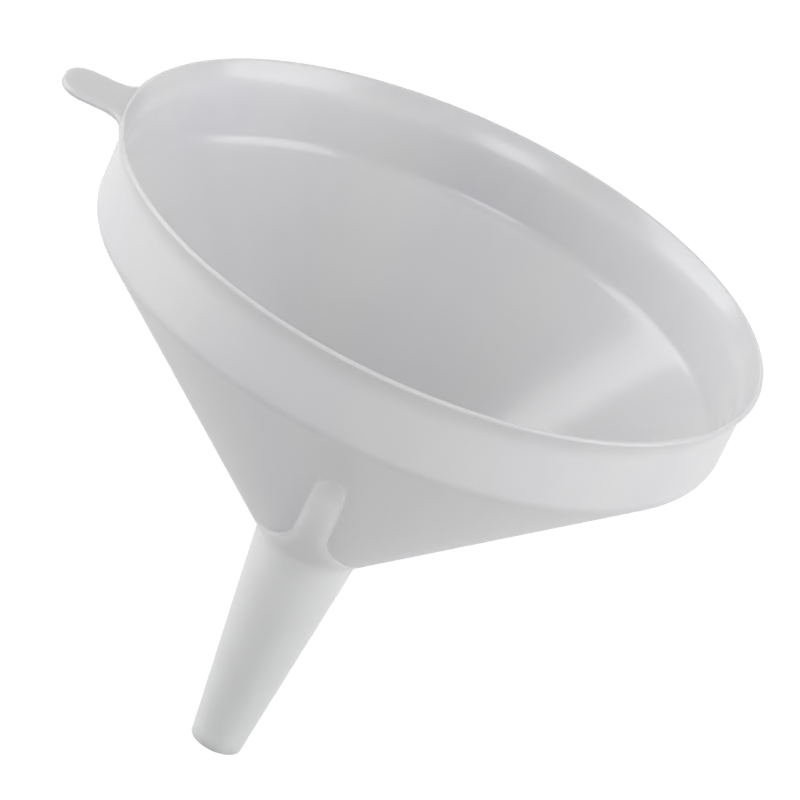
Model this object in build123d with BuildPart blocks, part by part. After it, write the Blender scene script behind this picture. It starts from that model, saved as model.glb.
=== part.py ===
"""Plastic kitchen funnel for filling jars and bottles.

The real funnel is one polyethylene moulding. It is modelled region by region:
rolled lip, collar, cone, spout, vent rib and grip tab, each a closed solid that
meets its neighbours face to face.

All sizes are in millimetres. The origin is the middle of the neck, where the cone
meets the spout. +Z points up through the mouth and -Z down the spout. The grip
tab points along -X, and the vent rib runs down the -Y side.
"""

import os
from math import atan2, cos, degrees, radians, sin, sqrt

from build123d import *

# ---------------------------------------------------------------- driving dimensions

# Spout: a slim taper that enters the bottle.
spout_length = 72.0
spout_tip_radius = 7.85
spout_wall = 1.8
tip_edge_radius = 0.6
neck_radius = 15.8  # outside radius where the spout meets the cone
neck_fillet = 1.2
neck_run = 2.0  # length of spout below the neck that belongs to the cone's solid

# Cone: the straight-sided bowl.
cone_height = 77.5
cone_wall = 2.0
shoulder_run = 6.0  # length of cone wall below the shoulder that belongs to the collar
shoulder_outer_fillet = 3.0
shoulder_inner_fillet = 3.5

# Mouth: the outermost edge of the lip, which sets how wide the funnel is.
lip_radius = 100.0
lip_overhang = 2.3  # how far the lip stands out beyond the collar
lip_turn = 60.0  # degrees that the wall turns outwards
lip_land = 1.0  # width of the flat ring on top that the upturned funnel stands on

# Collar: the tall band round the mouth, with a little mould draft.
collar_height = 20.5  # shoulder to the start of the lip
collar_draft = 0.3  # how much the radius grows over the collar's height
collar_wall = 2.0

# Vent rib: a raised pad that keeps a bottle's mouth from sealing on the cone.
rib_width = 10.8
rib_height = 3.0  # how far its crest stands off the cone
rib_crest_rise = 28.0  # height of the crest above the neck
rib_top_rise = 57.0  # height of its upper end above the neck
rib_end_height = 0.6  # what is left of its height at the upper end
rib_nose_rise = 15.0  # last stretch of its height, where the sides round in
rib_foot_height = 0.6  # height of its face off the cone at the neck
rib_flare_rise = 3.0  # height above the neck where the foot is at its widest
rib_flare_radius = 19.0  # how gently the sides turn out into the foot

# Grip tab: a flat tongue that stands out from the lip.
tab_length = 19.5  # beyond the lip
tab_width = 20.0
tab_thickness = 2.0
tab_drop = 0.4  # from the top of the lip down to the tab's top face
tab_corner_radius = 8.0
tab_root_fillet = 5.0
tab_root_depth = 0.7  # how far the tab's root circle lies inside the lip's rounded edge

# ---------------------------------------------------------------- worked-out profile

collar_top_radius = lip_radius - lip_overhang
shoulder_radius = collar_top_radius - collar_draft
collar_top = cone_height + collar_height
cone_angle = atan2(shoulder_radius - neck_radius, cone_height)  # from the axis
up_cone = Vector(sin(cone_angle), cos(cone_angle))
off_cone = Vector(cos(cone_angle), -sin(cone_angle))  # square to the cone, outwards
up_spout = Vector(neck_radius - spout_tip_radius, spout_length).normalized()
up_collar = Vector(collar_draft, collar_height).normalized()

neck = Vector(neck_radius, 0)
spout_tip = Vector(spout_tip_radius, -spout_length)
shoulder = Vector(shoulder_radius, cone_height)
collar_rim = Vector(collar_top_radius, collar_top)

tip_bore_radius = spout_tip_radius - spout_wall
bore_tip = Vector(tip_bore_radius, -spout_length)
collar_rim_inside = collar_rim - Vector(collar_wall, 0)
cone_inside = shoulder - off_cone * cone_wall  # a point on the cone's inner wall


def crossing(start: Vector, along: Vector, other: Vector, other_along: Vector) -> Vector:
    """Point where two straight lines of the profile cross."""
    gap = other - start
    turn = along.X * other_along.Y - along.Y * other_along.X
    reach = (gap.X * other_along.Y - gap.Y * other_along.X) / turn
    return start + along * reach


def on_line(start: Vector, along: Vector, height: float) -> Vector:
    """Point of a straight line of the profile at the given height."""
    return start + along * ((height - start.Y) / along.Y)


neck_inside = crossing(bore_tip, up_spout, cone_inside, up_cone)
shoulder_inside = crossing(collar_rim_inside, up_collar, cone_inside, up_cone)
collar_foot = shoulder - up_cone * shoulder_run
collar_foot_inside = collar_foot - off_cone * cone_wall
spout_top = on_line(neck, up_spout, -neck_run)
spout_top_inside = on_line(bore_tip, up_spout, -neck_run)

# ---------------------------------------------------------------- lip section

lip_wall = collar_wall
lip_middle_radius = collar_top_radius - lip_wall / 2
lip_end_radius = lip_radius - lip_wall / 2
lip_bend = (lip_end_radius - lip_middle_radius) / (1 - cos(radians(lip_turn)))
lip_bend_centre = Vector(lip_middle_radius + lip_bend, collar_top)
lip_end = Vector(lip_end_radius, collar_top + lip_bend * sin(radians(lip_turn)))
lip_top = lip_end.Y + sqrt((lip_wall / 2) ** 2 - (lip_land / 2) ** 2)

with BuildPart() as rim_lip:
    with BuildSketch(Plane.XZ):
        with BuildLine():
            CenterArc(lip_bend_centre, lip_bend + lip_wall / 2, 180, -lip_turn)
            CenterArc(lip_end, lip_wall / 2, 180 - lip_turn, -180)
            CenterArc(lip_bend_centre, lip_bend - lip_wall / 2, 180 - lip_turn, lip_turn)
            Line(collar_rim_inside, collar_rim)
        make_face()
        with Locations((lip_end_radius, lip_top)):
            Rectangle(
                2 * lip_wall, lip_wall, align=(Align.CENTER, Align.MIN), mode=Mode.SUBTRACT
            )
    revolve(axis=Axis.Z)
rim_lip.part.label = "rim_lip"

# ---------------------------------------------------------------- collar

with BuildPart() as collar:
    with BuildSketch(Plane.XZ) as collar_section:
        with BuildLine():
            Polyline(
                collar_foot,
                shoulder,
                collar_rim,
                collar_rim_inside,
                shoulder_inside,
                collar_foot_inside,
                close=True,
            )
        make_face()
        outer_bend = collar_section.vertices().sort_by_distance(shoulder)[0]
        fillet(outer_bend, shoulder_outer_fillet)
        inner_bend = collar_section.vertices().sort_by_distance(shoulder_inside)[0]
        fillet(inner_bend, shoulder_inner_fillet)
    revolve(axis=Axis.Z)
collar.part.label = "collar"

# ---------------------------------------------------------------- cone

with BuildPart() as cone:
    with BuildSketch(Plane.XZ) as cone_section:
        with BuildLine():
            Polyline(
                spout_top,
                neck,
                collar_foot,
                collar_foot_inside,
                neck_inside,
                spout_top_inside,
                close=True,
            )
        make_face()
        outer_corner = cone_section.vertices().sort_by_distance(neck)[0]
        fillet(outer_corner, neck_fillet)
        inner_corner = cone_section.vertices().sort_by_distance(neck_inside)[0]
        fillet(inner_corner, neck_fillet)
    revolve(axis=Axis.Z)
cone.part.label = "cone"

# ---------------------------------------------------------------- spout

with BuildPart() as spout:
    with BuildSketch(Plane.XZ) as spout_section:
        with BuildLine():
            Polyline(spout_tip, spout_top, spout_top_inside, bore_tip, close=True)
        make_face()
        tip_corner = spout_section.vertices().sort_by_distance(spout_tip)[0]
        fillet(tip_corner, tip_edge_radius)
    revolve(axis=Axis.Z)
spout.part.label = "spout"

# ---------------------------------------------------------------- vent rib

# The face keeps the cone's roundness, moved bodily outwards, so it fades out at the sides.
rib_shift = rib_height / cos(cone_angle)
rib_low = neck_fillet / 2  # just above the rounding of the neck
rib_foot = on_line(neck + off_cone * rib_foot_height, up_cone, rib_low)
rib_crest = on_line(neck + off_cone * rib_height, up_cone, rib_crest_rise)
rib_end = on_line(neck + off_cone * rib_end_height, up_cone, rib_top_rise)
rib_end_beyond = on_line(rib_crest, rib_end - rib_crest, rib_top_rise + rib_height)
rib_nose_start = rib_top_rise - rib_nose_rise
rib_flare_width = rib_width + 2 * rib_flare_radius + 2 * rib_height

with BuildPart() as vent_rib:
    # Plan of the rib, seen square on along +Y: parallel sides, a long rounded nose and
    # a foot that flares to the width of the neck.
    with BuildSketch(Plane.XZ) as rib_plan:
        Rectangle(rib_width, rib_nose_start, align=(Align.CENTER, Align.MIN))
        Rectangle(rib_flare_width, rib_flare_rise, align=(Align.CENTER, Align.MIN))
        flare_corners = [
            rib_plan.vertices().sort_by_distance((side * rib_width / 2, rib_flare_rise))[0]
            for side in (-1, 1)
        ]
        fillet(flare_corners, rib_flare_radius)
        with Locations((0, rib_nose_start)):
            Ellipse(rib_width / 2, rib_nose_rise)
    extrude(amount=lip_radius)
    # The face climbs from the neck to the crest, then sinks towards the cone.
    with BuildSketch(Plane.XZ.offset(rib_shift)):
        with BuildLine():
            Polyline(
                (0, rib_low),
                rib_foot - Vector(rib_shift, 0),
                rib_crest - Vector(rib_shift, 0),
                rib_end_beyond - Vector(rib_shift, 0),
                (0, rib_end_beyond.Y),
                close=True,
            )
        make_face()
    revolve(axis=Axis((0, -rib_shift, 0), (0, 0, 1)), mode=Mode.INTERSECT)
    # What is left inside the funnel's own outer surface is taken away.
    with BuildSketch(Plane.XZ):
        with BuildLine():
            Polyline((0, 0), neck, shoulder, (0, cone_height), close=True)
        make_face()
    revolve(axis=Axis.Z, mode=Mode.SUBTRACT)
vent_rib.part.label = "vent_rib"

# ---------------------------------------------------------------- grip tab

tab_top = lip_top - tab_drop
tab_end = -(lip_radius + tab_length)
tab_root_radius = lip_end_radius - tab_root_depth

with BuildPart() as grip_tab:
    with BuildSketch(Plane.XY.offset(tab_top - tab_thickness)) as tab_plan:
        Circle(tab_root_radius)
        with Locations((tab_end, 0)):
            Rectangle(-tab_end, tab_width, align=(Align.MIN, Align.CENTER))
        tab_corners = tab_plan.vertices().group_by(Axis.X)[0]
        fillet(tab_corners, tab_corner_radius)
        tab_roots = tab_plan.vertices().group_by(Axis.X)[-1]
        fillet(tab_roots, tab_root_fillet)
        Circle(tab_root_radius, mode=Mode.SUBTRACT)
    extrude(amount=tab_thickness)
    add(rim_lip.part, mode=Mode.SUBTRACT)
grip_tab.part.label = "grip_tab"

# ---------------------------------------------------------------- files

os.makedirs("parts", exist_ok=True)
for piece in (rim_lip, collar, cone, spout, vent_rib, grip_tab):
    export_step(piece.part, f"parts/{piece.part.label}.step")

print("cone half-angle", round(degrees(cone_angle), 2), "lip top", round(lip_top, 3))
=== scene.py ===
"""Dresses the canning funnel: one seamless milky polyethylene moulding on a pale floor.

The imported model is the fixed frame. Lengths in this file are metres, in that frame:
the origin is the middle of the neck, +Z points up through the mouth, the vent rib
runs down the -Y side and the grip tab points along -X.
"""

import logging
from dataclasses import dataclass
from enum import Enum
from math import acos, asin, atan2, ceil, cos, pi, radians, sin, sqrt, tan

import bmesh
import bpy
from mathutils import Matrix, Vector


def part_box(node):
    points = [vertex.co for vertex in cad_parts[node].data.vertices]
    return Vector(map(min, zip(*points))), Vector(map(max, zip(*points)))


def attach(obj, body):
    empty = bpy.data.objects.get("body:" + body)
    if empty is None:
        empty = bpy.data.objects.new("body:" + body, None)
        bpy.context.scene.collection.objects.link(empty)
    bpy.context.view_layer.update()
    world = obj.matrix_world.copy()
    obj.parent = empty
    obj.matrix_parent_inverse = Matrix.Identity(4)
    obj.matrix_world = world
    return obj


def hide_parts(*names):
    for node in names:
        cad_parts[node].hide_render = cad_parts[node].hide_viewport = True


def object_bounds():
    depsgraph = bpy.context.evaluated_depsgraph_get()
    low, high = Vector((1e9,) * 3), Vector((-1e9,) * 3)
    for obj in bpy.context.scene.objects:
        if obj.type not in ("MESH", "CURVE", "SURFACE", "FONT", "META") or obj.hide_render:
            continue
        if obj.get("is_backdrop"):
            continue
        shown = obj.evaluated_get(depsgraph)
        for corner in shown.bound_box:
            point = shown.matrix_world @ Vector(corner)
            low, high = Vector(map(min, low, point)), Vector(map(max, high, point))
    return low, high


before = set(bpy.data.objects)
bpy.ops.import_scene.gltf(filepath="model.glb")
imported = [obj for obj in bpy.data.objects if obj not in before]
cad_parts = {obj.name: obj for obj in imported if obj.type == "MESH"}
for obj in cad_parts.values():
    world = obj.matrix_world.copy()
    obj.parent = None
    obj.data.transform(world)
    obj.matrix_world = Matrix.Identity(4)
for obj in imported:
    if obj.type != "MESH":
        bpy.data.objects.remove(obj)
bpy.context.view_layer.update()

Colour = tuple[float, float, float, float]
Span = tuple[float, float]
Socket = bpy.types.NodeSocket
Group = bpy.types.ShaderNodeTree
Shape = bmesh.types.BMesh

MM = 0.001
MERGE_DISTANCE = 1e-6
JUST_UNDER = 0.999
WHITE: Colour = (1.0, 1.0, 1.0, 1.0)
RISING: Span = (0.0, 1.0)
FALLING: Span = (1.0, 0.0)
log = logging.getLogger("canning_funnel")


# -------------------- small helpers


def mix(start: float, end: float, share: float) -> float:
    """Value that lies the given share of the way from start to end."""
    return start + (end - start) * share


def smooth(share: float) -> float:
    """Share eased at both ends, held between 0 and 1."""
    held = min(max(share, 0.0), 1.0)
    return held * held * (3.0 - 2.0 * held)


def soft_max(first: float, second: float, reach: float) -> float:
    """Larger of two values, eased where they lie closer than the reach."""
    overlap = max(reach - abs(first - second), 0.0)
    return max(first, second) + overlap * overlap / (4.0 * reach)


def linear_colour(red: int, green: int, blue: int) -> Colour:
    """Linear colour, with an alpha of 1, of a display colour from 0 to 255.

    Args:
        red: Red as displayed.
        green: Green as displayed.
        blue: Blue as displayed.

    Returns:
        The colour that shaders take.
    """
    channels = []
    for value in (red, green, blue):
        share = value / 255.0
        curved = ((share + 0.055) / 1.055) ** 2.4
        channels.append(share / 12.92 if share <= 0.04045 else curved)
    return (channels[0], channels[1], channels[2], 1.0)


def add_object(name: str, data: bpy.types.ID) -> bpy.types.Object:
    """New object of the scene.

    Args:
        name: Name of the object.
        data: Its mesh, light or camera.

    Returns:
        The object, linked to the scene.
    """
    added = bpy.data.objects.new(name, data)
    bpy.context.scene.collection.objects.link(added)
    return added


class Line:
    """A straight line of the half section, through two points of radius and height."""

    def __init__(self, start: Vector, end: Vector) -> None:
        """Keeps the start point and the line's direction."""
        self.start = start
        self.along = (end - start).normalized()

    def offset(self, distance: float) -> "Line":
        """Parallel line, shifted towards the axis side when the distance is positive."""
        shift = Vector((-self.along.y, self.along.x)) * distance
        return Line(self.start + shift, self.start + shift + self.along)

    def at_height(self, height: float) -> Vector:
        """Point of the line at a height."""
        return self.start + self.along * ((height - self.start.y) / self.along.y)

    def crossing(self, other: "Line") -> Vector:
        """Point where this line meets another.

        Args:
            other: The other line, which isn't parallel.

        Returns:
            The point.
        """
        gap = other.start - self.start
        turn = self.along.x * other.along.y - self.along.y * other.along.x
        reach = (gap.x * other.along.y - gap.y * other.along.x) / turn
        return self.start + self.along * reach

    def turn_to(self, other: "Line") -> float:
        """Angle in radians between this line and another."""
        return acos(max(-1.0, min(1.0, self.along.dot(other.along))))


# -------------------- half section


@dataclass(frozen=True)
class Corner:
    """A corner of the half section, with how it is rounded.

    Attributes:
        place: Radius and height of the sharp corner.
        cut: How far along its edges the rounding starts.
        segments: Number of straight steps in the rounding.
    """

    place: Vector
    cut: float = 0.0
    segments: int = 1


@dataclass
class WallSection:
    """Sizes of the funnel's wall, seen as a half section in radius and height.

    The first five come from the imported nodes; the rest are the moulding's own sizes.
    The fields that end in step, top or run say how finely its straight runs are divided,
    and those that end in segments how finely its corners are rounded.
    """

    tip_height: float
    collar_top: float
    lip_top: float
    lip_radius: float
    collar_top_radius: float
    tip_radius: float = 7.85 * MM
    neck_radius: float = 15.8 * MM
    cone_height: float = 77.5 * MM
    collar_draft: float = 0.3 * MM
    spout_wall: float = 1.8 * MM
    cone_wall: float = 2.0 * MM
    collar_wall: float = 2.0 * MM
    tip_rounding: float = 0.6 * MM
    tip_inner_rounding: float = 0.3 * MM
    neck_rounding: float = 1.2 * MM
    shoulder_rounding: float = 5.0 * MM
    shoulder_inner_rounding: float = 6.0 * MM
    lip_turn: float = radians(34.0)
    lip_edge: float = 1.5 * MM
    lip_flat: float = 0.1 * MM
    coarse_step: float = 4.0 * MM
    fine_step: float = 0.85 * MM
    fine_top: float = 70.0 * MM
    neck_step: float = 1.6 * MM
    neck_run: float = 22.0 * MM
    under_segments: int = 8
    edge_segments: int = 7
    over_segments: int = 10
    shoulder_segments: int = 6
    corner_segments: int = 4
    bore_segments: int = 2

    @classmethod
    def from_frame(cls) -> "WallSection":
        """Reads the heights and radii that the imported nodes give.

        Returns:
            The sizes of the wall.
        """
        lip_low, lip_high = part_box("rim_lip")
        spout_low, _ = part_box("spout")
        _, collar_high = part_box("collar")
        return cls(
            tip_height=spout_low.z,
            collar_top=lip_low.z,
            lip_top=lip_high.z,
            lip_radius=lip_high.x,
            collar_top_radius=collar_high.x,
        )

    @property
    def tip(self) -> Vector:
        """Outer corner of the spout's end."""
        return Vector((self.tip_radius, self.tip_height))

    @property
    def neck(self) -> Vector:
        """Outer corner where the spout meets the cone."""
        return Vector((self.neck_radius, 0.0))

    @property
    def shoulder(self) -> Vector:
        """Outer corner where the cone meets the collar."""
        return Vector((self.collar_top_radius - self.collar_draft, self.cone_height))

    @property
    def rim(self) -> Vector:
        """Top of the collar's outside, where the lip starts to turn."""
        return Vector((self.collar_top_radius, self.collar_top))

    @property
    def cone_line(self) -> Line:
        """Outside of the cone."""
        return Line(self.neck, self.shoulder)

    @property
    def spout_line(self) -> Line:
        """Outside of the spout."""
        return Line(self.tip, self.neck)

    @property
    def collar_line(self) -> Line:
        """Outside of the collar."""
        return Line(self.shoulder, self.rim)

    @property
    def cone_angle(self) -> float:
        """Angle between the cone's side and the axis."""
        return atan2(self.cone_line.along.x, self.cone_line.along.y)

    @property
    def edge_middle(self) -> Vector:
        """Middle of the lip's rounded edge."""
        half = self.lip_edge / 2
        return Vector((self.lip_radius - half, self.lip_top + self.lip_flat - half))

    def outside_radius(self, height: float) -> float:
        """Radius of the spout's or the cone's outside at a height."""
        side = self.spout_line if height < 0.0 else self.cone_line
        return side.at_height(height).x

    def lip_corners(self) -> list[Corner]:
        """The lip's outer bend, the two corners of its edge and its inner bend.

        Returns:
            The corners, from the outside of the collar's top to its inside.
        """
        half = self.lip_edge / 2
        along = Vector((sin(self.lip_turn), cos(self.lip_turn)))
        aside = Vector((along.y, -along.x)) * half
        outer, inner = self.edge_middle + aside, self.edge_middle - aside
        under = self.collar_line.crossing(Line(outer, outer + along))
        collar_inside = self.collar_line.offset(self.collar_wall)
        over = collar_inside.crossing(Line(inner, inner + along))
        return [
            Corner(under, (outer - under).length, self.under_segments),
            Corner(outer + along * half, half, self.edge_segments),
            Corner(inner + along * half, half, self.edge_segments),
            Corner(over, (inner - over).length, self.over_segments),
        ]

    def corners(self) -> list[Corner]:
        """Every corner of the half section, round the wall from the spout's end.

        Returns:
            The corners, in the order in which edges join them.
        """
        spout_shift = Vector((self.spout_wall, 0.0))
        spout_inside = Line(self.tip - spout_shift, self.neck - spout_shift)
        cone_inside = self.cone_line.offset(self.cone_wall)
        collar_inside = self.collar_line.offset(self.collar_wall)
        neck_cut = self.neck_rounding * tan(self.spout_line.turn_to(self.cone_line) / 2)
        shoulder_lean = tan(self.cone_line.turn_to(self.collar_line) / 2)
        shoulder_cut = self.shoulder_rounding * shoulder_lean
        inner_cut = self.shoulder_inner_rounding * shoulder_lean
        return [
            Corner(self.tip, self.tip_rounding, self.corner_segments),
            Corner(self.spout_line.at_height(-self.neck_run)),
            Corner(self.neck, neck_cut, self.corner_segments),
            Corner(self.cone_line.at_height(self.fine_top)),
            Corner(self.shoulder, shoulder_cut, self.shoulder_segments),
            *self.lip_corners(),
            Corner(
                collar_inside.crossing(cone_inside), inner_cut, self.shoulder_segments
            ),
            Corner(spout_inside.crossing(cone_inside), neck_cut, self.corner_segments),
            Corner(spout_inside.start, self.tip_inner_rounding, self.bore_segments),
        ]


# -------------------- the swept wall


@dataclass
class SweptWall:
    """The lip, collar, cone and spout as one wall, swept round the axis.

    Attributes:
        section: Sizes of the wall.
        rib_turn: Half the angle that is swept in small steps, where the vent rib is.
        rib_steps: Number of those small steps.
        other_steps: Number of steps round the rest.
    """

    section: WallSection
    rib_turn: float = radians(12.0)
    rib_steps: int = 48
    other_steps: int = 224

    @property
    def step(self) -> float:
        """Angle between two columns away from the rib."""
        return (2.0 * pi - 2.0 * self.rib_turn) / self.other_steps

    def build(self) -> Shape:
        """Sweeps the half section round the axis into a new closed wall.

        Returns:
            A new bmesh, which the caller frees.
        """
        shape = bmesh.new()
        self._draw_section(shape)
        self._divide_section(shape)
        bmesh.ops.rotate(
            shape, verts=shape.verts[:], matrix=Matrix.Rotation(-self.rib_turn, 3, "Z")
        )
        ring = shape.verts[:] + shape.edges[:]
        sweeps = (
            (2.0 * self.rib_turn, self.rib_steps),
            (2.0 * pi - 2.0 * self.rib_turn, self.other_steps),
        )
        for angle, steps in sweeps:
            ring = bmesh.ops.spin(
                shape,
                geom=ring,
                cent=(0.0, 0.0, 0.0),
                axis=(0.0, 0.0, 1.0),
                dvec=(0.0, 0.0, 0.0),
                angle=angle,
                steps=steps,
                use_merge=False,
                use_duplicate=False,
            )["geom_last"]
        bmesh.ops.remove_doubles(shape, verts=shape.verts[:], dist=MERGE_DISTANCE)
        bmesh.ops.recalc_face_normals(shape, faces=shape.faces[:])
        return shape

    def _draw_section(self, shape: Shape) -> None:
        """Draws the half section on the -Y side and rounds its corners.

        Args:
            shape: An empty bmesh, which gains the section.
        """
        corners = self.section.corners()
        points = [shape.verts.new((0.0, -c.place.x, c.place.y)) for c in corners]
        for index, point in enumerate(points):
            shape.edges.new((point, points[(index + 1) % len(points)]))
        for corner, point in zip(corners, points):
            if corner.cut:
                bmesh.ops.bevel(
                    shape,
                    geom=[point],
                    offset=corner.cut,
                    offset_type="OFFSET",
                    affect="VERTICES",
                    segments=corner.segments,
                    profile=0.5,
                    material=-1,
                )
        bmesh.ops.remove_doubles(shape, verts=shape.verts[:], dist=MERGE_DISTANCE)
        self._trim_edge(shape)

    def _trim_edge(self, shape: Shape) -> None:
        """Levels the lip's edge to the narrow ring that the upturned funnel stands on.

        Args:
            shape: The section, whose highest and outermost vertices are moved.
        """
        for point in shape.verts:
            point.co.y = max(point.co.y, -self.section.lip_radius)
            point.co.z = min(point.co.z, self.section.lip_top)

    def _divide_section(self, shape: Shape) -> None:
        """Divides the long straight runs, finely where the vent rib will rise.

        Args:
            shape: The section, whose edges are split.
        """
        size = self.section
        for edge in shape.edges[:]:
            start, end = edge.verts
            middle = (start.co + end.co) / 2
            outside = -middle.y > size.outside_radius(middle.z) - size.cone_wall / 2
            step = size.coarse_step
            if outside and 0.0 < middle.z < size.fine_top:
                step = size.fine_step
            elif outside and -size.neck_run < middle.z < 0.0:
                step = size.neck_step
            for left in range(ceil(edge.calc_length() / step), 1, -1):
                edge, start = bmesh.utils.edge_split(edge, start, 1.0 / left)
                edge = next(e for e in start.link_edges if e.other_vert(start) == end)


# -------------------- vent rib


@dataclass
class VentRib:
    """Raised pad on the cone that keeps a bottle's mouth from sealing.

    Its sides are parallel, its face is slightly crowned, its upper end is a long rounded
    nose that sinks into the cone, and its foot flares to the width of the neck, where a
    saddle leads it into the spout.

    Rises are heights above the neck, and turns are angles from the rib's middle.

    Attributes:
        narrowest: Share of the half width that the nose keeps at its end.
        saddle: Reach of the easing between the rib's foot and the spout.
        widest: Largest turn that the flare reaches.
        sector: Largest turn of a column that is moved.
        face_turn: Columns nearer the middle than this form the face.
        wall_turn: Columns between the face and this form the side walls.
        wall_steps: Section of a side wall, as millimetres outwards and share of height.
        wall_share: Largest share of the half width that a side wall takes.
        tail: Length over which the upper end fades out.
    """

    section: WallSection
    half_width: float = 5.4 * MM
    height: float = 2.4 * MM
    crest_rise: float = 28.0 * MM
    top_rise: float = 57.0 * MM
    end_height: float = 0.15 * MM
    crest_ease: float = 0.9 * MM
    nose_rise: float = 15.0 * MM
    narrowest: float = 0.12
    foot_height: float = 0.6 * MM
    saddle: float = 6.5 * MM
    flare_rise: float = 3.0 * MM
    flare_radius: float = 19.0 * MM
    widest: float = radians(50.0)
    sector: float = radians(76.5)
    face_turn: float = radians(7.0)
    wall_turn: float = radians(11.0)
    wall_steps: tuple[tuple[float, float], ...] = (
        (-0.54, 0.80), (-0.47, 0.79), (-0.41, 0.75), (-0.36, 0.65),
        (-0.32, 0.46), (-0.28, 0.27), (-0.21, 0.115), (-0.05, 0.03), (0.30, 0.0),
    )
    wall_share: float = 0.85
    tail: float = 1.6 * MM

    @property
    def shift(self) -> float:
        """How far the crest stands off the cone, measured level."""
        return self.height / cos(self.section.cone_angle)

    def stand(self, height: float) -> float:
        """How far the rib's face stands off the cone, 0 beyond its upper end.

        Args:
            height: Height above the neck.

        Returns:
            The distance, square to the cone.
        """
        rising = mix(self.foot_height, self.height, height / self.crest_rise)
        share = (height - self.crest_rise) / (self.top_rise - self.crest_rise)
        falling = mix(self.height, self.end_height, min(share, 1.0))
        stand = -soft_max(-rising, -falling, self.crest_ease)
        return stand * (1.0 - smooth((height - self.top_rise + self.tail) / self.tail))

    def face_radius(self, height: float) -> float:
        """Radius of the rib's face at the front, which a saddle leads into the spout.

        Args:
            height: Height above the neck.

        Returns:
            The distance from the axis.
        """
        size = self.section
        face = size.cone_line.at_height(height).x
        face += self.stand(height) / cos(size.cone_angle)
        spout = size.spout_line.at_height(height).x
        return soft_max(face, spout, self.saddle)

    def half_width_at(self, height: float) -> float:
        """Half the rib's width in plan at a height above the neck.

        Args:
            height: Height above the neck.

        Returns:
            Half the width.
        """
        if height > self.top_rise - self.nose_rise:
            share = min((height - self.top_rise + self.nose_rise) / self.nose_rise, 1.0)
            rounded = self.half_width * sqrt(1.0 - share * share)
            return max(rounded, self.narrowest * self.half_width)
        drop = self.flare_rise + self.flare_radius - height
        if drop > 0.0:
            drop = min(drop, self.flare_radius * JUST_UNDER)
            reach = self.flare_radius - sqrt(self.flare_radius**2 - drop**2)
            return self.half_width + reach
        return self.half_width

    def build(self, shape: Shape) -> None:
        """Raises the rib out of the swept wall, by moving its outer vertices.

        Args:
            shape: The swept wall.
        """
        size = self.section
        low, high = -size.neck_run, size.fine_top
        for point in shape.verts:
            across, height = point.co.xy.length, point.co.z
            if not low < height < high:
                continue
            if across < size.outside_radius(height) - size.cone_wall / 2:
                continue
            turn = atan2(point.co.x, -point.co.y)
            if abs(turn) < self.sector * JUST_UNDER:
                self._place(point, across, height, turn)

    def _place(
        self, point: bmesh.types.BMVert, across: float, height: float, turn: float
    ) -> None:
        """Moves one outer vertex to its place on the rib or beside it.

        Args:
            point: The vertex.
            across: Its distance from the axis.
            height: Its height above the neck.
            turn: Its angle from the middle of the rib.
        """
        size = self.section
        target, lift = self._spread(abs(turn), across, height)
        fade = smooth((height + size.neck_run) / size.neck_run)
        fade *= smooth((size.fine_top - height) / (size.fine_top - self.top_rise))
        side = 1.0 if turn >= 0.0 else -1.0
        target = side * mix(abs(turn), target, fade)
        aside = across * sin(target)
        ahead = across * cos(target)
        face_radius = self.face_radius(height) - self.shift
        if lift and abs(aside) < face_radius:
            face = self.shift + sqrt(face_radius**2 - aside**2)
            ahead += max(0.0, face - ahead) * lift
        point.co.x, point.co.y = aside, -ahead

    def _spread(self, turn: float, across: float, height: float) -> tuple[float, float]:
        """Where a column goes across the rib, and how much of the rib's height it gets.

        Args:
            turn: The column's angle from the middle of the rib, without its sign.
            across: The vertex's distance from the axis.
            height: Its height above the neck.

        Returns:
            The angle that it moves to, and its share of the rib's height.
        """
        half = min(self.half_width_at(height), across * sin(self.widest))
        inward = min(-self.wall_steps[0][0] * MM, self.wall_share * half)
        if turn <= self.face_turn:
            share = turn / self.face_turn
            face_edge = self._turn_for(half - inward, across)
            return face_edge * share, mix(1.0, self.wall_steps[0][1], share * share)
        if turn <= self.wall_turn:
            step = (turn - self.face_turn) / (self.wall_turn - self.face_turn)
            place, lift = self._wall(step)
            place *= inward / -self.wall_steps[0][0] if place < 0.0 else MM
            return self._turn_for(half + place, across), lift
        base = self._turn_for(half + self.wall_steps[-1][0] * MM, across)
        rest = (turn - self.wall_turn) / (self.sector - self.wall_turn)
        return mix(base, self.sector, rest), 0.0

    def _turn_for(self, aside: float, across: float) -> float:
        """Angle round the axis at which the wall lies a distance to the side."""
        return asin(min(max(aside / across, 0.0), sin(self.sector)))

    def _wall(self, step: float) -> tuple[float, float]:
        """Place and lift of the rib's side wall at a share of the way down it.

        Args:
            step: Share of the way from the face to the cone.

        Returns:
            The place, as wall_steps has it, and the share of the rib's height.
        """
        at = step * (len(self.wall_steps) - 1)
        index = min(int(at), len(self.wall_steps) - 2)
        (place_a, lift_a), (place_b, lift_b) = self.wall_steps[index : index + 2]
        return mix(place_a, place_b, at - index), mix(lift_a, lift_b, at - index)


# -------------------- grip tab


@dataclass(frozen=True)
class TabRing:
    """One ring of the grip tab's skin.

    Attributes:
        ahead: Its distance from the axis.
        aside: Its half width.
        follow: How far it still follows the lip's roundness, 0 to 1.
        drawn: How far its edge is drawn in towards the tip, 0 to 1.
    """

    ahead: float
    aside: float
    follow: float = 0.0
    drawn: float = 0.0


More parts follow.
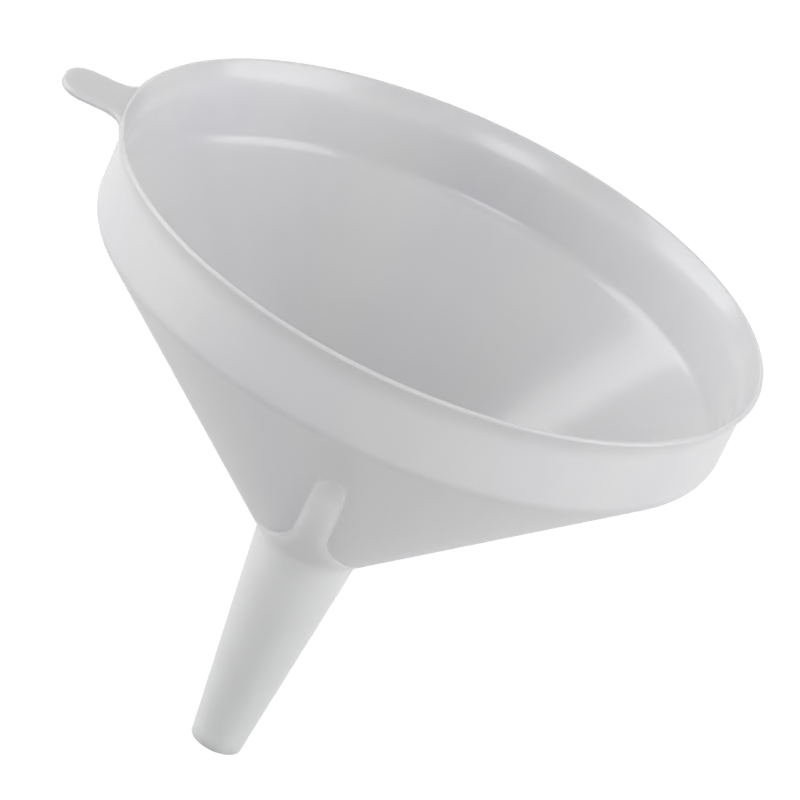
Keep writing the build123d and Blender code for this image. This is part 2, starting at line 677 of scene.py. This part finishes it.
@dataclass
class GripTab:
    """Flat tongue that is drawn out of the lip's edge, along -X.

    Attributes:
        root: Radius of the fillets where it leaves the lip.
        root_depth: How deep in the lip those fillets end.
        edge: Rounding of its edges.
        tip_inset: Share by which that rounding eases at the tip.
        side_columns: Columns of the wall on each side of its middle.
        slack: How far inside the edge's middle a vertex may lie and still be drawn out.
        sink: How far below its underside a vertex may lie and still be drawn out.
    """

    section: WallSection
    column_turn: float
    reach: float
    top: float
    bottom: float
    half_width: float = 10.0 * MM
    corner: float = 8.0 * MM
    root: float = 7.0 * MM
    root_depth: float = 0.4 * MM
    edge: float = 0.75 * MM
    tip_inset: float = 0.65
    side_columns: int = 6
    slack: float = 0.05 * MM
    sink: float = 0.3 * MM
    root_rings: int = 6
    middle_rings: int = 3
    tip_rings: int = 10

    @classmethod
    def from_frame(cls, section: WallSection, column_turn: float) -> "GripTab":
        """Reads the tab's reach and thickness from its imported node."""
        low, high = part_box("grip_tab")
        return cls(section, column_turn, reach=-low.x, top=high.z, bottom=low.z)

    def build(self, shape: Shape) -> None:
        """Draws the tab out of the swept wall's lip, ring by ring.

        Args:
            shape: The swept wall, which gains the tab.
        """
        column = shape.verts.layers.int.new("tab_column")
        row = shape.verts.layers.int.new("tab_row")
        faces, rows = self._mark_root(shape, column, row)
        for ring in self._rings():
            grown = bmesh.ops.extrude_face_region(shape, geom=faces)["geom"]
            bmesh.ops.delete(
                shape, geom=[f for f in faces if f.is_valid], context="FACES_ONLY"
            )
            faces = [part for part in grown if isinstance(part, bmesh.types.BMFace)]
            for point in (part for part in grown if isinstance(part, bmesh.types.BMVert)):
                point.co = self._point(ring, point[column], point[row] / rows)
        loose = [e for e in shape.edges if not e.link_faces]
        bmesh.ops.delete(shape, geom=loose, context="EDGES")

    def _mark_root(
        self,
        shape: Shape,
        column: bmesh.types.BMLayerItem,
        row: bmesh.types.BMLayerItem,
    ) -> tuple[list[bmesh.types.BMFace], int]:
        """Finds the lip's outer faces that the tab grows from.

        Args:
            shape: The swept wall.
            column: Layer for a vertex's place across the tab.
            row: Layer for a vertex's place from the tab's underside to its top.

        Returns:
            The faces, and the number of rows between underside and top.
        """
        reach = (self.side_columns + 0.5) * self.column_turn
        middle = self.section.edge_middle
        marked: list[tuple[float, bmesh.types.BMVert]] = []
        for point in shape.verts:
            turn = atan2(point.co.y, -point.co.x)
            outwards = point.co.xy.length - middle.x
            if abs(turn) > reach or outwards < -self.slack:
                continue
            if point.co.z < self.bottom - self.sink:
                continue
            point[column] = round(turn / self.column_turn) + self.side_columns + 1
            marked.append((atan2(point.co.z - middle.y, outwards), point))
        marked.sort(key=lambda entry: entry[0])
        columns = 2 * self.side_columns + 1
        for index, (_, point) in enumerate(marked):
            point[row] = index // columns
        chosen = {point for _, point in marked}
        faces = [face for face in shape.faces if all(p in chosen for p in face.verts)]
        return faces, len(marked) // columns - 1

    def _rings(self) -> list[TabRing]:
        """Rings of the tab from the lip to its tip.

        Returns:
            The rings, in that order.
        """
        seat = self.section.lip_radius - self.root_depth
        root_side = self.half_width + self.root
        root_middle = sqrt((seat + self.root) ** 2 - root_side**2)
        foot_turn = asin(root_side / (seat + self.root))
        rings: list[TabRing] = []
        for index in range(1, self.root_rings + 1):
            share = index / self.root_rings
            turn = mix(foot_turn, pi / 2, share)
            ahead = root_middle - self.root * cos(turn)
            aside = root_side - self.root * sin(turn)
            rings.append(TabRing(ahead, aside, follow=1.0 - share))
        corner_middle = self.reach - self.corner
        for index in range(1, self.middle_rings + 1):
            ahead = mix(root_middle, corner_middle, index / self.middle_rings)
            rings.append(TabRing(ahead, self.half_width))
        for index in range(1, self.tip_rings + 1):
            turn = pi / 2 * index / self.tip_rings
            aside = self.half_width - self.corner * (1.0 - cos(turn))
            ahead = corner_middle + self.corner * sin(turn)
            rings.append(TabRing(ahead, aside, drawn=sin(turn)))
        return rings

    def _point(self, ring: TabRing, column: int, share: float) -> Vector:
        """Place of a vertex of one ring.

        Args:
            ring: The ring.
            column: The vertex's place across the tab.
            share: Its place from underside, 0, to top, 1.

        Returns:
            The vertex's place.
        """
        across = (column - self.side_columns - 1) / self.side_columns
        lean = mix(-pi / 2, pi / 2, share)
        inset = self.edge * (1.0 - cos(lean))
        half_thick = (self.top - self.bottom) / 2
        level = (self.top + self.bottom) / 2 + half_thick * sin(lean)
        side = across * (ring.aside - inset * (1.0 - self.tip_inset * ring.drawn))
        lip = self.section.lip_radius - self.root_depth / 2
        round_lip = sqrt(max(lip**2 - side**2, 0.0))
        forward = mix(ring.ahead, max(round_lip, ring.ahead), ring.follow)
        return Vector((-(forward - inset * ring.drawn), side, level))


# -------------------- surface effects


class NodeSheet:
    """Small helper that lays shader nodes in one tree and joins them."""

    def __init__(self, tree: bpy.types.NodeTree) -> None:
        """Starts on a tree."""
        self.tree = tree

    def add(self, kind: str, **settings: object) -> bpy.types.Node:
        """Adds a node of a kind and sets its plain properties.

        Args:
            kind: Type of the node.
            settings: Its properties, by name.

        Returns:
            The node.
        """
        node = self.tree.nodes.new(kind)
        for name, value in settings.items():
            setattr(node, name, value)
        return node

    def join(self, source: Socket, target: Socket) -> None:
        """Links an output to an input."""
        self.tree.links.new(source, target)

    def noise(
        self,
        place: Socket,
        scale: Socket,
        detail: float,
        roughness: float,
    ) -> Socket:
        """Noise value over the surface.

        Args:
            place: Coordinates.
            scale: Scale of the noise.
            detail: Its detail.
            roughness: Its roughness.

        Returns:
            The value.
        """
        node = self.add("ShaderNodeTexNoise")
        self.join(place, node.inputs["Vector"])
        self.join(scale, node.inputs["Scale"])
        node.inputs["Detail"].default_value = detail
        node.inputs["Roughness"].default_value = roughness
        return node.outputs["Fac"]

    def calculate(
        self,
        operation: str,
        first: Socket,
        second: Socket | None = None,
    ) -> Socket:
        """Result of a math operation on one or two values.

        Args:
            operation: The operation.
            first: First value.
            second: Second value, where there is one.

        Returns:
            The result.
        """
        node = self.add("ShaderNodeMath", operation=operation)
        self.join(first, node.inputs[0])
        if second is not None:
            self.join(second, node.inputs[1])
        return node.outputs["Value"]

    def remap(self, source: Socket, span: Span, to: Span = RISING) -> Socket:
        """Maps a span of values onto another, held at its ends.

        Args:
            source: The value.
            span: The span it lies in.
            to: The span it is mapped onto.

        Returns:
            The result.
        """
        node = self.add("ShaderNodeMapRange", clamp=True)
        self.join(source, node.inputs["Value"])
        names = ("From Min", "From Max", "To Min", "To Max")
        for name, value in zip(names, (*span, *to)):
            node.inputs[name].default_value = value
        return node.outputs["Result"]

    def scale(self, place: Socket, factors: tuple[float, float, float]) -> Socket:
        """Coordinates multiplied along each axis.

        Args:
            place: The coordinates.
            factors: A factor for each axis.

        Returns:
            The result.
        """
        node = self.add("ShaderNodeVectorMath", operation="MULTIPLY")
        self.join(place, node.inputs[0])
        node.inputs[1].default_value = factors
        return node.outputs["Vector"]

    def outwards(self, place: Socket) -> Socket:
        """Level direction from the axis to a place.

        Args:
            place: The place.

        Returns:
            The direction, with a length of 1.
        """
        node = self.add("ShaderNodeVectorMath", operation="NORMALIZE")
        self.join(self.scale(place, (1.0, 1.0, 0.0)), node.inputs[0])
        return node.outputs["Vector"]

    def axes(self, place: Socket) -> bpy.types.bpy_prop_collection:
        """The X, Y and Z of a place, by name.

        Args:
            place: The place.

        Returns:
            The outputs that hold them.
        """
        node = self.add("ShaderNodeSeparateXYZ")
        self.join(place, node.inputs["Vector"])
        return node.outputs

    def use(
        self,
        group: Group,
        place: Socket,
        values: dict[str, float] | None = None,
    ) -> bpy.types.Node:
        """Adds a shared group at a place.

        Args:
            group: The group.
            place: Object coordinates.
            values: Values of its inputs, by name.

        Returns:
            The group's node.
        """
        node = self.add("ShaderNodeGroup", node_tree=group)
        self.join(place, node.inputs["Place"])
        for name, value in (values or {}).items():
            node.inputs[name].default_value = value
        return node

    def sum(self, *parts: tuple[Socket, float], start: float = 0.0) -> Socket:
        """Weighted sum of values, counted from a start value.

        Args:
            parts: Each value, with its weight.
            start: The start value.

        Returns:
            The sum.
        """
        total = None
        for source, weight in parts:
            node = self.add("ShaderNodeMath", operation="MULTIPLY_ADD")
            self.join(source, node.inputs[0])
            node.inputs[1].default_value = weight
            if total is None:
                node.inputs[2].default_value = start
            else:
                self.join(total, node.inputs[2])
            total = node.outputs["Value"]
        return total

    def blend(self, share: Socket, first: Socket | Colour, second: Colour) -> Socket:
        """Colour that lies the given share of the way from the first to the second.

        Args:
            share: The share.
            first: The colour at 0.
            second: The colour at 1.

        Returns:
            The colour.
        """
        node = self.add("ShaderNodeMix", data_type="RGBA")
        self.join(share, node.inputs["Factor"])
        if isinstance(first, Socket):
            self.join(first, node.inputs["A"])
        else:
            node.inputs["A"].default_value = first
        node.inputs["B"].default_value = second
        return node.outputs["Result"]


class GroupSheet(NodeSheet):
    """Nodes of a new shared group, with its named inputs and outputs."""

    def __init__(
        self, name: str, inputs: dict[str, float | None], outputs: tuple[str, ...]
    ) -> None:
        """Makes the group.

        Args:
            name: Name of the group.
            inputs: Default of each value input by name, or None for a vector input.
            outputs: Names of the value outputs.
        """
        super().__init__(bpy.data.node_groups.new(name, "ShaderNodeTree"))
        sockets = self.tree.interface
        for title, default in inputs.items():
            kind = "NodeSocketVector" if default is None else "NodeSocketFloat"
            socket = sockets.new_socket(name=title, in_out="INPUT", socket_type=kind)
            if default is not None:
                socket.default_value = default
        for title in outputs:
            sockets.new_socket(name=title, in_out="OUTPUT", socket_type="NodeSocketFloat")
        self.given = self.add("NodeGroupInput").outputs
        self.result = self.add("NodeGroupOutput").inputs


@dataclass(frozen=True)
class MouldedSkin:
    """Skin of an injection moulding: polish haze, slight waviness and melt flow marks.

    The flow marks run from the spout to the lip, as the melt did.
    """

    name: str = "moulded_skin"
    haze_detail: Span = (3.0, 0.6)
    wave_detail: Span = (2.0, 0.5)
    flow_detail: Span = (4.0, 0.5)
    haze_span: Span = (0.3, 0.7)
    flow_span: Span = (0.32, 0.68)
    haze_height: float = 0.10
    flow_height: float = 0.8
    flow_rise: float = 4.0

    def build(self) -> Group:
        """Builds the group.

        Returns:
            The group, with Place, Haze Scale, Wave Scale and Flow Scale in, and
            Height, Haze and Flow out.
        """
        scales = {"Haze Scale": 900.0, "Wave Scale": 22.0, "Flow Scale": 2.4}
        inputs = {"Place": None, **scales}
        sheet = GroupSheet(self.name, inputs, ("Height", "Haze", "Flow"))
        given, result = sheet.given, sheet.result
        place = given["Place"]
        haze = sheet.noise(place, given["Haze Scale"], *self.haze_detail)
        wave = sheet.noise(place, given["Wave Scale"], *self.wave_detail)
        along = self._along_flow(sheet, place)
        flow = sheet.noise(along, given["Flow Scale"], *self.flow_detail)
        relief = ((haze, self.haze_height), (wave, 1.0), (flow, self.flow_height))
        sheet.join(sheet.sum(*relief), result["Height"])
        sheet.join(sheet.remap(haze, self.haze_span), result["Haze"])
        sheet.join(sheet.remap(flow, self.flow_span), result["Flow"])
        return sheet.tree

    def _along_flow(self, sheet: NodeSheet, place: Socket) -> Socket:
        """Place without its distance from the axis, so patterns run up the wall.

        Args:
            sheet: The group's nodes.
            place: Object coordinates.

        Returns:
            The new place.
        """
        rise = sheet.add("ShaderNodeVectorMath", operation="MULTIPLY_ADD")
        sheet.join(place, rise.inputs[0])
        rise.inputs[1].default_value = (0.0, 0.0, self.flow_rise)
        sheet.join(sheet.outwards(place), rise.inputs[2])
        return rise.outputs["Vector"]


@dataclass(frozen=True)
class HandlingWear:
    """Faint scuffs on a band of the moulding that rubs on shelves and bottle necks; at the
    lip the band also places painted shade.
    """

    name: str = "handling_wear"
    stretch: float = 5.0
    scratch_detail: Span = (5.0, 0.7)
    patch_span: Span = (0.42, 0.78)

    def build(self) -> Group:
        """Builds the group.

        Returns:
            The group, with Place, the Middle height and the Reach of the band and the
            Scratch Scale in, and Band, which fades out evenly, and Scuff out.
        """
        sheet = GroupSheet(
            self.name,
            {"Place": None, "Middle": 0.0, "Reach": 2.0 * MM, "Scratch Scale": 420.0},
            ("Band", "Scuff"),
        )
        given, result = sheet.given, sheet.result
        height = sheet.axes(given["Place"])["Z"]
        gap = sheet.calculate("SUBTRACT", height, given["Middle"])
        away = sheet.calculate("ABSOLUTE", gap)
        share = sheet.calculate("DIVIDE", away, given["Reach"])
        band = sheet.remap(share, RISING, FALLING)
        flat = sheet.scale(given["Place"], (1.0, 1.0, self.stretch))
        marks = sheet.noise(flat, given["Scratch Scale"], *self.scratch_detail)
        patches = sheet.remap(marks, self.patch_span)
        sheet.join(band, result["Band"])
        sheet.join(sheet.calculate("MULTIPLY", band, patches), result["Scuff"])
        return sheet.tree


@dataclass(frozen=True)
class PaintedSpoutRibLight:
    """Painted light: masks the spout and the vent rib, which are painted whiter.

    The whiter colour stands in for light that the lamps give these parts too little.
    """

    name: str = "painted_spout_rib_light"
    side_fade: Span = (0.80, 0.95)
    top_fade: Span = (0.75, 1.0)
    front_fade: Span = (-6.0 * MM, -3.0 * MM)

    def build(self) -> Group:
        """Builds the group.

        Returns:
            The group, with Place, Outside, Neck Fade and the rib's Half Width, Top, Flare
            Top and Flare Radius in, and Dense out, the mask of the painted light. The rib
            shows on the outside alone.
        """
        sizes = {
            "Neck Fade": 4.0 * MM,
            "Half Width": 5.0 * MM,
            "Top": 60.0 * MM,
            "Flare Top": 20.0 * MM,
            "Flare Radius": 20.0 * MM,
        }
        inputs = {"Place": None, "Outside": 1.0, **sizes}
        sheet = GroupSheet(self.name, inputs, ("Dense",))
        given = sheet.given
        axes = sheet.axes(given["Place"])
        below = sheet.calculate("DIVIDE", axes["Z"], given["Neck Fade"])
        spout = sheet.remap(below, (-1.0, 1.0), FALLING)
        aside = sheet.calculate("ABSOLUTE", axes["X"])
        share = sheet.calculate("DIVIDE", aside, self._half_width(sheet, axes["Z"]))
        rise = sheet.calculate("DIVIDE", axes["Z"], given["Top"])
        rib = sheet.remap(share, self.side_fade, FALLING)
        for limit in (
            sheet.remap(axes["Y"], self.front_fade, FALLING),
            sheet.remap(rise, self.top_fade, FALLING),
            given["Outside"],
        ):
            rib = sheet.calculate("MULTIPLY", rib, limit)
        sheet.join(sheet.calculate("MAXIMUM", spout, rib), sheet.result["Dense"])
        return sheet.tree

    def _half_width(self, sheet: GroupSheet, height: Socket) -> Socket:
        """Half the rib's width at a height, wider towards its flared foot.

        Args:
            sheet: The group's nodes.
            height: Height above the neck.

        Returns:
            Half the width.
        """
        given = sheet.given
        drop = sheet.calculate("SUBTRACT", given["Flare Top"], height)
        drop = sheet.calculate("DIVIDE", drop, given["Flare Radius"])
        drop = sheet.remap(drop, RISING)
        flare = sheet.calculate("MULTIPLY", drop, sheet.calculate("MULTIPLY", drop, drop))
        flare = sheet.calculate("MULTIPLY", flare, given["Flare Radius"])
        return sheet.calculate("ADD", given["Half Width"], flare)


@dataclass(frozen=True)
class CavitySide:
    """The outside of the wall, which the mould's matt cavity made."""

    name: str = "cavity_side"
    limit: Span = (0.24, 0.26)

    def build(self) -> Group:
        """Builds the group.

        Returns:
            The group, with Place and Facing in, and Outside out, which is 1 where the
            surface faces away from the funnel's axis.
        """
        sheet = GroupSheet(self.name, {"Place": None, "Facing": None}, ("Outside",))
        match = sheet.add("ShaderNodeVectorMath", operation="DOT_PRODUCT")
        sheet.join(sheet.outwards(sheet.given["Place"]), match.inputs[0])
        sheet.join(sheet.given["Facing"], match.inputs[1])
        outside = sheet.remap(match.outputs["Value"], self.limit)
        sheet.join(outside, sheet.result["Outside"])
        return sheet.tree


@dataclass(frozen=True)
class MilkyPolyethylene:
    """Natural high-density polyethylene, milky, matt outside and satin inside.

    Attributes:
        dense: Whiter colour painted on the spout and the vent rib, a painted light.
        glow_depth: How deep light scatters.
        glow_colours: Share of that depth for red, green and blue.
        bend: Index of refraction.
        gloss: Roughness of the inside, to which each gain adds.
        lip_band: Reach of the worn band below the lip's top, which is also the reach of
            the shade painted on the lip.
        tip_band: Reach of the worn band above the spout's tip.
    """

    name: str = "milky_polyethylene"
    body: Colour = linear_colour(223, 223, 223)
    shade: Colour = linear_colour(217, 217, 221)
    # Painted light: the spout and the vent rib are painted this whiter colour.
    dense: Colour = linear_colour(246, 246, 246)
    scuffed: Colour = linear_colour(233, 233, 232)
    scuff_share: float = 0.15
    # Painted shade: the band below the lip's top is painted towards this darker grey.
    painted_lip_shade: Colour = linear_colour(202, 202, 204)
    painted_lip_shade_share: float = 0.8
    glow_depth: float = 5.0 * MM
    glow_colours: tuple[float, float, float] = (1.0, 0.98, 0.96)
    bend: float = 1.54
    gloss: float = 0.165
    cavity_gain: float = 0.16
    haze_gain: float = 0.03
    flow_gain: float = 0.02
    band_gain: float = 0.01
    scuff_gain: float = 0.01
    relief: float = 0.12 * MM
    relief_share: float = 0.6
    lip_band: float = 6.0 * MM
    tip_band: float = 6.0 * MM

    def build(
        self,
        rib: VentRib,
        skin: Group,
        painted_light_group: Group,
        wear: Group,
        sides: Group,
    ) -> bpy.types.Material:
        """Builds the material.

        Args:
            rib: The vent rib, for its width and top.
            skin: The moulded skin group.
            painted_light_group: The group that masks the painted light on the spout and
                the rib.
            wear: The handling wear group.
            sides: The cavity side group.

        Returns:
            The material for the moulding.
        """
        low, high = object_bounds()
        material = bpy.data.materials.new(self.name)
        material.use_nodes = True
        sheet = NodeSheet(material.node_tree)
        shader = material.node_tree.nodes["Principled BSDF"]
        coordinates = sheet.add("ShaderNodeTexCoord")
        place = coordinates.outputs["Object"]
        surface = sheet.use(skin, place)
        lip_wear_and_shade = sheet.use(wear, place, {"Middle": high[2], "Reach": self.lip_band})
        tip_wear = sheet.use(wear, place, {"Middle": low[2], "Reach": self.tip_band})
        band, scuff = (
            sheet.sum((lip_wear_and_shade.outputs[name], 1.0), (tip_wear.outputs[name], 1.0))
            for name in ("Band", "Scuff")
        )
        cavity = sheet.use(sides, place)
        sheet.join(coordinates.outputs["Normal"], cavity.inputs["Facing"])
        # Painted light: mask of the whiter colour painted on the spout and the rib's
        # outside.
        milky = sheet.use(
            painted_light_group,
            place,
            {
                "Half Width": rib.half_width,
                "Top": rib.top_rise,
                "Flare Top": rib.flare_rise + rib.flare_radius,
                "Flare Radius": rib.flare_radius,
            },
        )
        sheet.join(cavity.outputs["Outside"], milky.inputs["Outside"])
        tint = sheet.blend(surface.outputs["Flow"], self.shade, self.body)
        # Painted light: the spout and the rib are painted whiter.
        tint = sheet.blend(milky.outputs["Dense"], tint, self.dense)
        # Painted shade: the band below the lip's top is painted darker, which dims its
        # highlights.
        edge = sheet.sum((lip_wear_and_shade.outputs["Band"], self.painted_lip_shade_share))
        tint = sheet.blend(edge, tint, self.painted_lip_shade)
        tint = sheet.blend(sheet.sum((scuff, self.scuff_share)), tint, self.scuffed)
        sheet.join(tint, shader.inputs["Base Color"])
        gloss = sheet.sum(
            (cavity.outputs["Outside"], self.cavity_gain),
            (surface.outputs["Haze"], self.haze_gain),
            (surface.outputs["Flow"], self.flow_gain),
            (band, self.band_gain),
            (scuff, self.scuff_gain),
            start=self.gloss,
        )
        sheet.join(gloss, shader.inputs["Roughness"])
        bump = sheet.add("ShaderNodeBump")
        bump.inputs["Distance"].default_value = self.relief
        bump.inputs["Strength"].default_value = self.relief_share
        sheet.join(surface.outputs["Height"], bump.inputs["Height"])
        sheet.join(bump.outputs["Normal"], shader.inputs["Normal"])
        shader.inputs["IOR"].default_value = self.bend
        shader.inputs["Subsurface Weight"].default_value = 1.0
        shader.inputs["Subsurface Scale"].default_value = self.glow_depth
        shader.inputs["Subsurface Radius"].default_value = self.glow_colours
        return material


# -------------------- the moulding


@dataclass
class FunnelMoulding:
    """The whole funnel: swept wall, vent rib and grip tab in one closed mesh."""

    section: WallSection
    rib: VentRib
    name: str = "funnel_moulding"
    nodes: tuple[str, ...] = (
        "rim_lip", "collar", "cone", "spout", "vent_rib", "grip_tab",
    )

    def build(self, finish: bpy.types.Material) -> bpy.types.Object:
        """Builds the mesh, gives it its finish and puts it on its body.

        Args:
            finish: Material of the moulding.

        Returns:
            The finished piece.
        """
        wall = SweptWall(self.section)
        shape = wall.build()
        self.rib.build(shape)
        GripTab.from_frame(self.section, wall.step).build(shape)
        bmesh.ops.recalc_face_normals(shape, faces=shape.faces[:])
        for face in shape.faces:
            face.smooth = True
        mesh = bpy.data.meshes.new(self.name)
        shape.to_mesh(mesh)
        open_edges = sum(1 for edge in shape.edges if len(edge.link_faces) != 2)
        shape.free()
        piece = add_object(self.name, mesh)
        mesh.materials.append(finish)
        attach(piece, "root")
        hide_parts(*self.nodes)
        log.info("%s: %d faces, %d open edges", self.name, len(mesh.polygons), open_edges)
        return piece


# -------------------- the studio


class LampSide(Enum):
    """Where a soft lamp stands round the funnel, as turn from the camera and height."""

    LEFT = (-90.0, 24.0)
    RIGHT = (80.0, 20.0)
    FRONT = (-8.0, 12.0)
    OVERHEAD = (0.0, 50.0)
    BACK = (180.0, 20.0)


@dataclass(frozen=True)
class SoftLamp:
    """A large square soft lamp."""

    side: LampSide
    power: float
    size: float = 1.6
    distance: float = 1.8

    def place(self, aim: Vector) -> None:
        """Puts the lamp in the scene, turned to the aimed point.

        Args:
            aim: The point it faces.
        """
        turn, lift = (radians(angle) for angle in self.side.value)
        away = Vector((sin(turn) * cos(lift), -cos(turn) * cos(lift), sin(lift)))
        data = bpy.data.lights.new(f"soft_lamp_{self.side.name.lower()}", "AREA")
        data.shape = "SQUARE"
        data.size = self.size
        data.energy = self.power
        lamp = add_object(data.name, data)
        lamp.location = aim + away * self.distance
        lamp.rotation_euler = away.to_track_quat("Z", "Y").to_euler()
        log.info("%s: %.1f W", data.name, self.power)


@dataclass(frozen=True)
class Studio:
    """White floor, white surroundings and soft lamps.

    Attributes:
        floor_lift: Light that takes the floor to white where it is seen directly.
        surround: Strength of the surroundings as a light.
        aim_height: Height that the lamps face.
    """

    floor_size: float = 12.0
    floor_grey: float = 0.45
    floor_lift: float = 0.72
    floor_roughness: float = 0.9
    surround: float = 0.18
    aim_height: float = 30.0 * MM
    lamps: tuple[SoftLamp, ...] = (
        SoftLamp(LampSide.LEFT, 22.0),
        SoftLamp(LampSide.RIGHT, 22.0),
        SoftLamp(LampSide.FRONT, 6.5, size=0.8),
        SoftLamp(LampSide.OVERHEAD, 4.8),
        SoftLamp(LampSide.BACK, 2.5),
    )

    def build(self) -> None:
        """Builds everything round the funnel."""
        low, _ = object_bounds()
        self._floor(low[2])
        self._world()
        for lamp in self.lamps:
            lamp.place(Vector((0.0, 0.0, self.aim_height)))
        bpy.context.scene.view_settings.view_transform = "Standard"

    def _white_to_camera(self, sheet: NodeSheet) -> Socket:
        """Value that is 1 for what the camera, gloss and glass see directly.

        Args:
            sheet: The nodes of the material or world.

        Returns:
            The value.
        """
        path = sheet.add("ShaderNodeLightPath").outputs
        seen = sheet.calculate("MAXIMUM", path["Is Camera Ray"], path["Is Glossy Ray"])
        return sheet.calculate("MAXIMUM", seen, path["Is Transmission Ray"])

    def _floor(self, height: float) -> None:
        """Lays the floor at the funnel's lowest point.

        Args:
            height: Height of that point.
        """
        shape = bmesh.new()
        bmesh.ops.create_grid(shape, x_segments=1, y_segments=1, size=self.floor_size / 2)
        bmesh.ops.translate(shape, verts=shape.verts[:], vec=(0.0, 0.0, height))
        mesh = bpy.data.meshes.new("studio_floor")
        shape.to_mesh(mesh)
        shape.free()
        add_object("studio_floor", mesh)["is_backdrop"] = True
        material = bpy.data.materials.new("studio_floor")
        material.use_nodes = True
        sheet = NodeSheet(material.node_tree)
        shader = material.node_tree.nodes["Principled BSDF"]
        shader.inputs["Base Color"].default_value = (*(self.floor_grey,) * 3, 1.0)
        shader.inputs["Roughness"].default_value = self.floor_roughness
        shader.inputs["Specular IOR Level"].default_value = 0.0
        shader.inputs["Emission Color"].default_value = WHITE
        lift = sheet.sum((self._white_to_camera(sheet), self.floor_lift))
        sheet.join(lift, shader.inputs["Emission Strength"])
        mesh.materials.append(material)

    def _world(self) -> None:
        """Makes the surroundings an even white, plainly bright."""
        world = bpy.data.worlds.new("studio_world")
        bpy.context.scene.world = world
        world.use_nodes = True
        sheet = NodeSheet(world.node_tree)
        background = world.node_tree.nodes["Background"]
        background.inputs["Color"].default_value = WHITE
        seen = self._white_to_camera(sheet)
        strength = sheet.remap(seen, RISING, (self.surround, 1.0))
        sheet.join(strength, background.inputs["Strength"])


@dataclass(frozen=True)
class StudioCamera:
    """Long-lens camera that looks down at the funnel, rolled to one side.

    Attributes:
        across: How far the camera is moved to its right.
        upwards: How far it is moved up in its own frame.
        lens: Focal length in millimetres, as the sensor's width.
        far: Distance beyond which nothing is drawn.
    """

    distance: float = 2.5
    elevation: float = radians(24.54)
    roll: float = radians(24.9)
    aim_height: float = 18.32 * MM
    across: float = 19.75 * MM
    upwards: float = 25.75 * MM
    lens: float = 387.0
    sensor: float = 36.0
    far: float = 100.0

    def build(self) -> None:
        """Creates the camera and makes it the scene's own."""
        back = Vector((0.0, -cos(self.elevation), sin(self.elevation)))
        level_right = Vector((1.0, 0.0, 0.0))
        level_up = back.cross(level_right)
        right = level_right * cos(self.roll) + level_up * sin(self.roll)
        up = level_up * cos(self.roll) - level_right * sin(self.roll)
        place = Vector((0.0, 0.0, self.aim_height)) + back * self.distance
        place += right * self.across + up * self.upwards
        data = bpy.data.cameras.new("studio_camera")
        data.sensor_width = self.sensor
        data.lens = self.lens
        data.clip_end = self.far
        camera = add_object("studio_camera", data)
        turn = Matrix((right, up, back)).transposed().to_4x4()
        camera.matrix_world = Matrix.Translation(place) @ turn
        bpy.context.scene.camera = camera


def main() -> None:
    """Builds the funnel and its studio, and reports each piece."""
    logging.basicConfig(level=logging.INFO, format="%(name)s %(message)s")
    section = WallSection.from_frame()
    rib = VentRib(section)
    finish = MilkyPolyethylene().build(
        rib,
        MouldedSkin().build(),
        PaintedSpoutRibLight().build(),
        HandlingWear().build(),
        CavitySide().build(),
    )
    FunnelMoulding(section, rib).build(finish)
    Studio().build()
    StudioCamera().build()


if __name__ == "__main__":
    main()
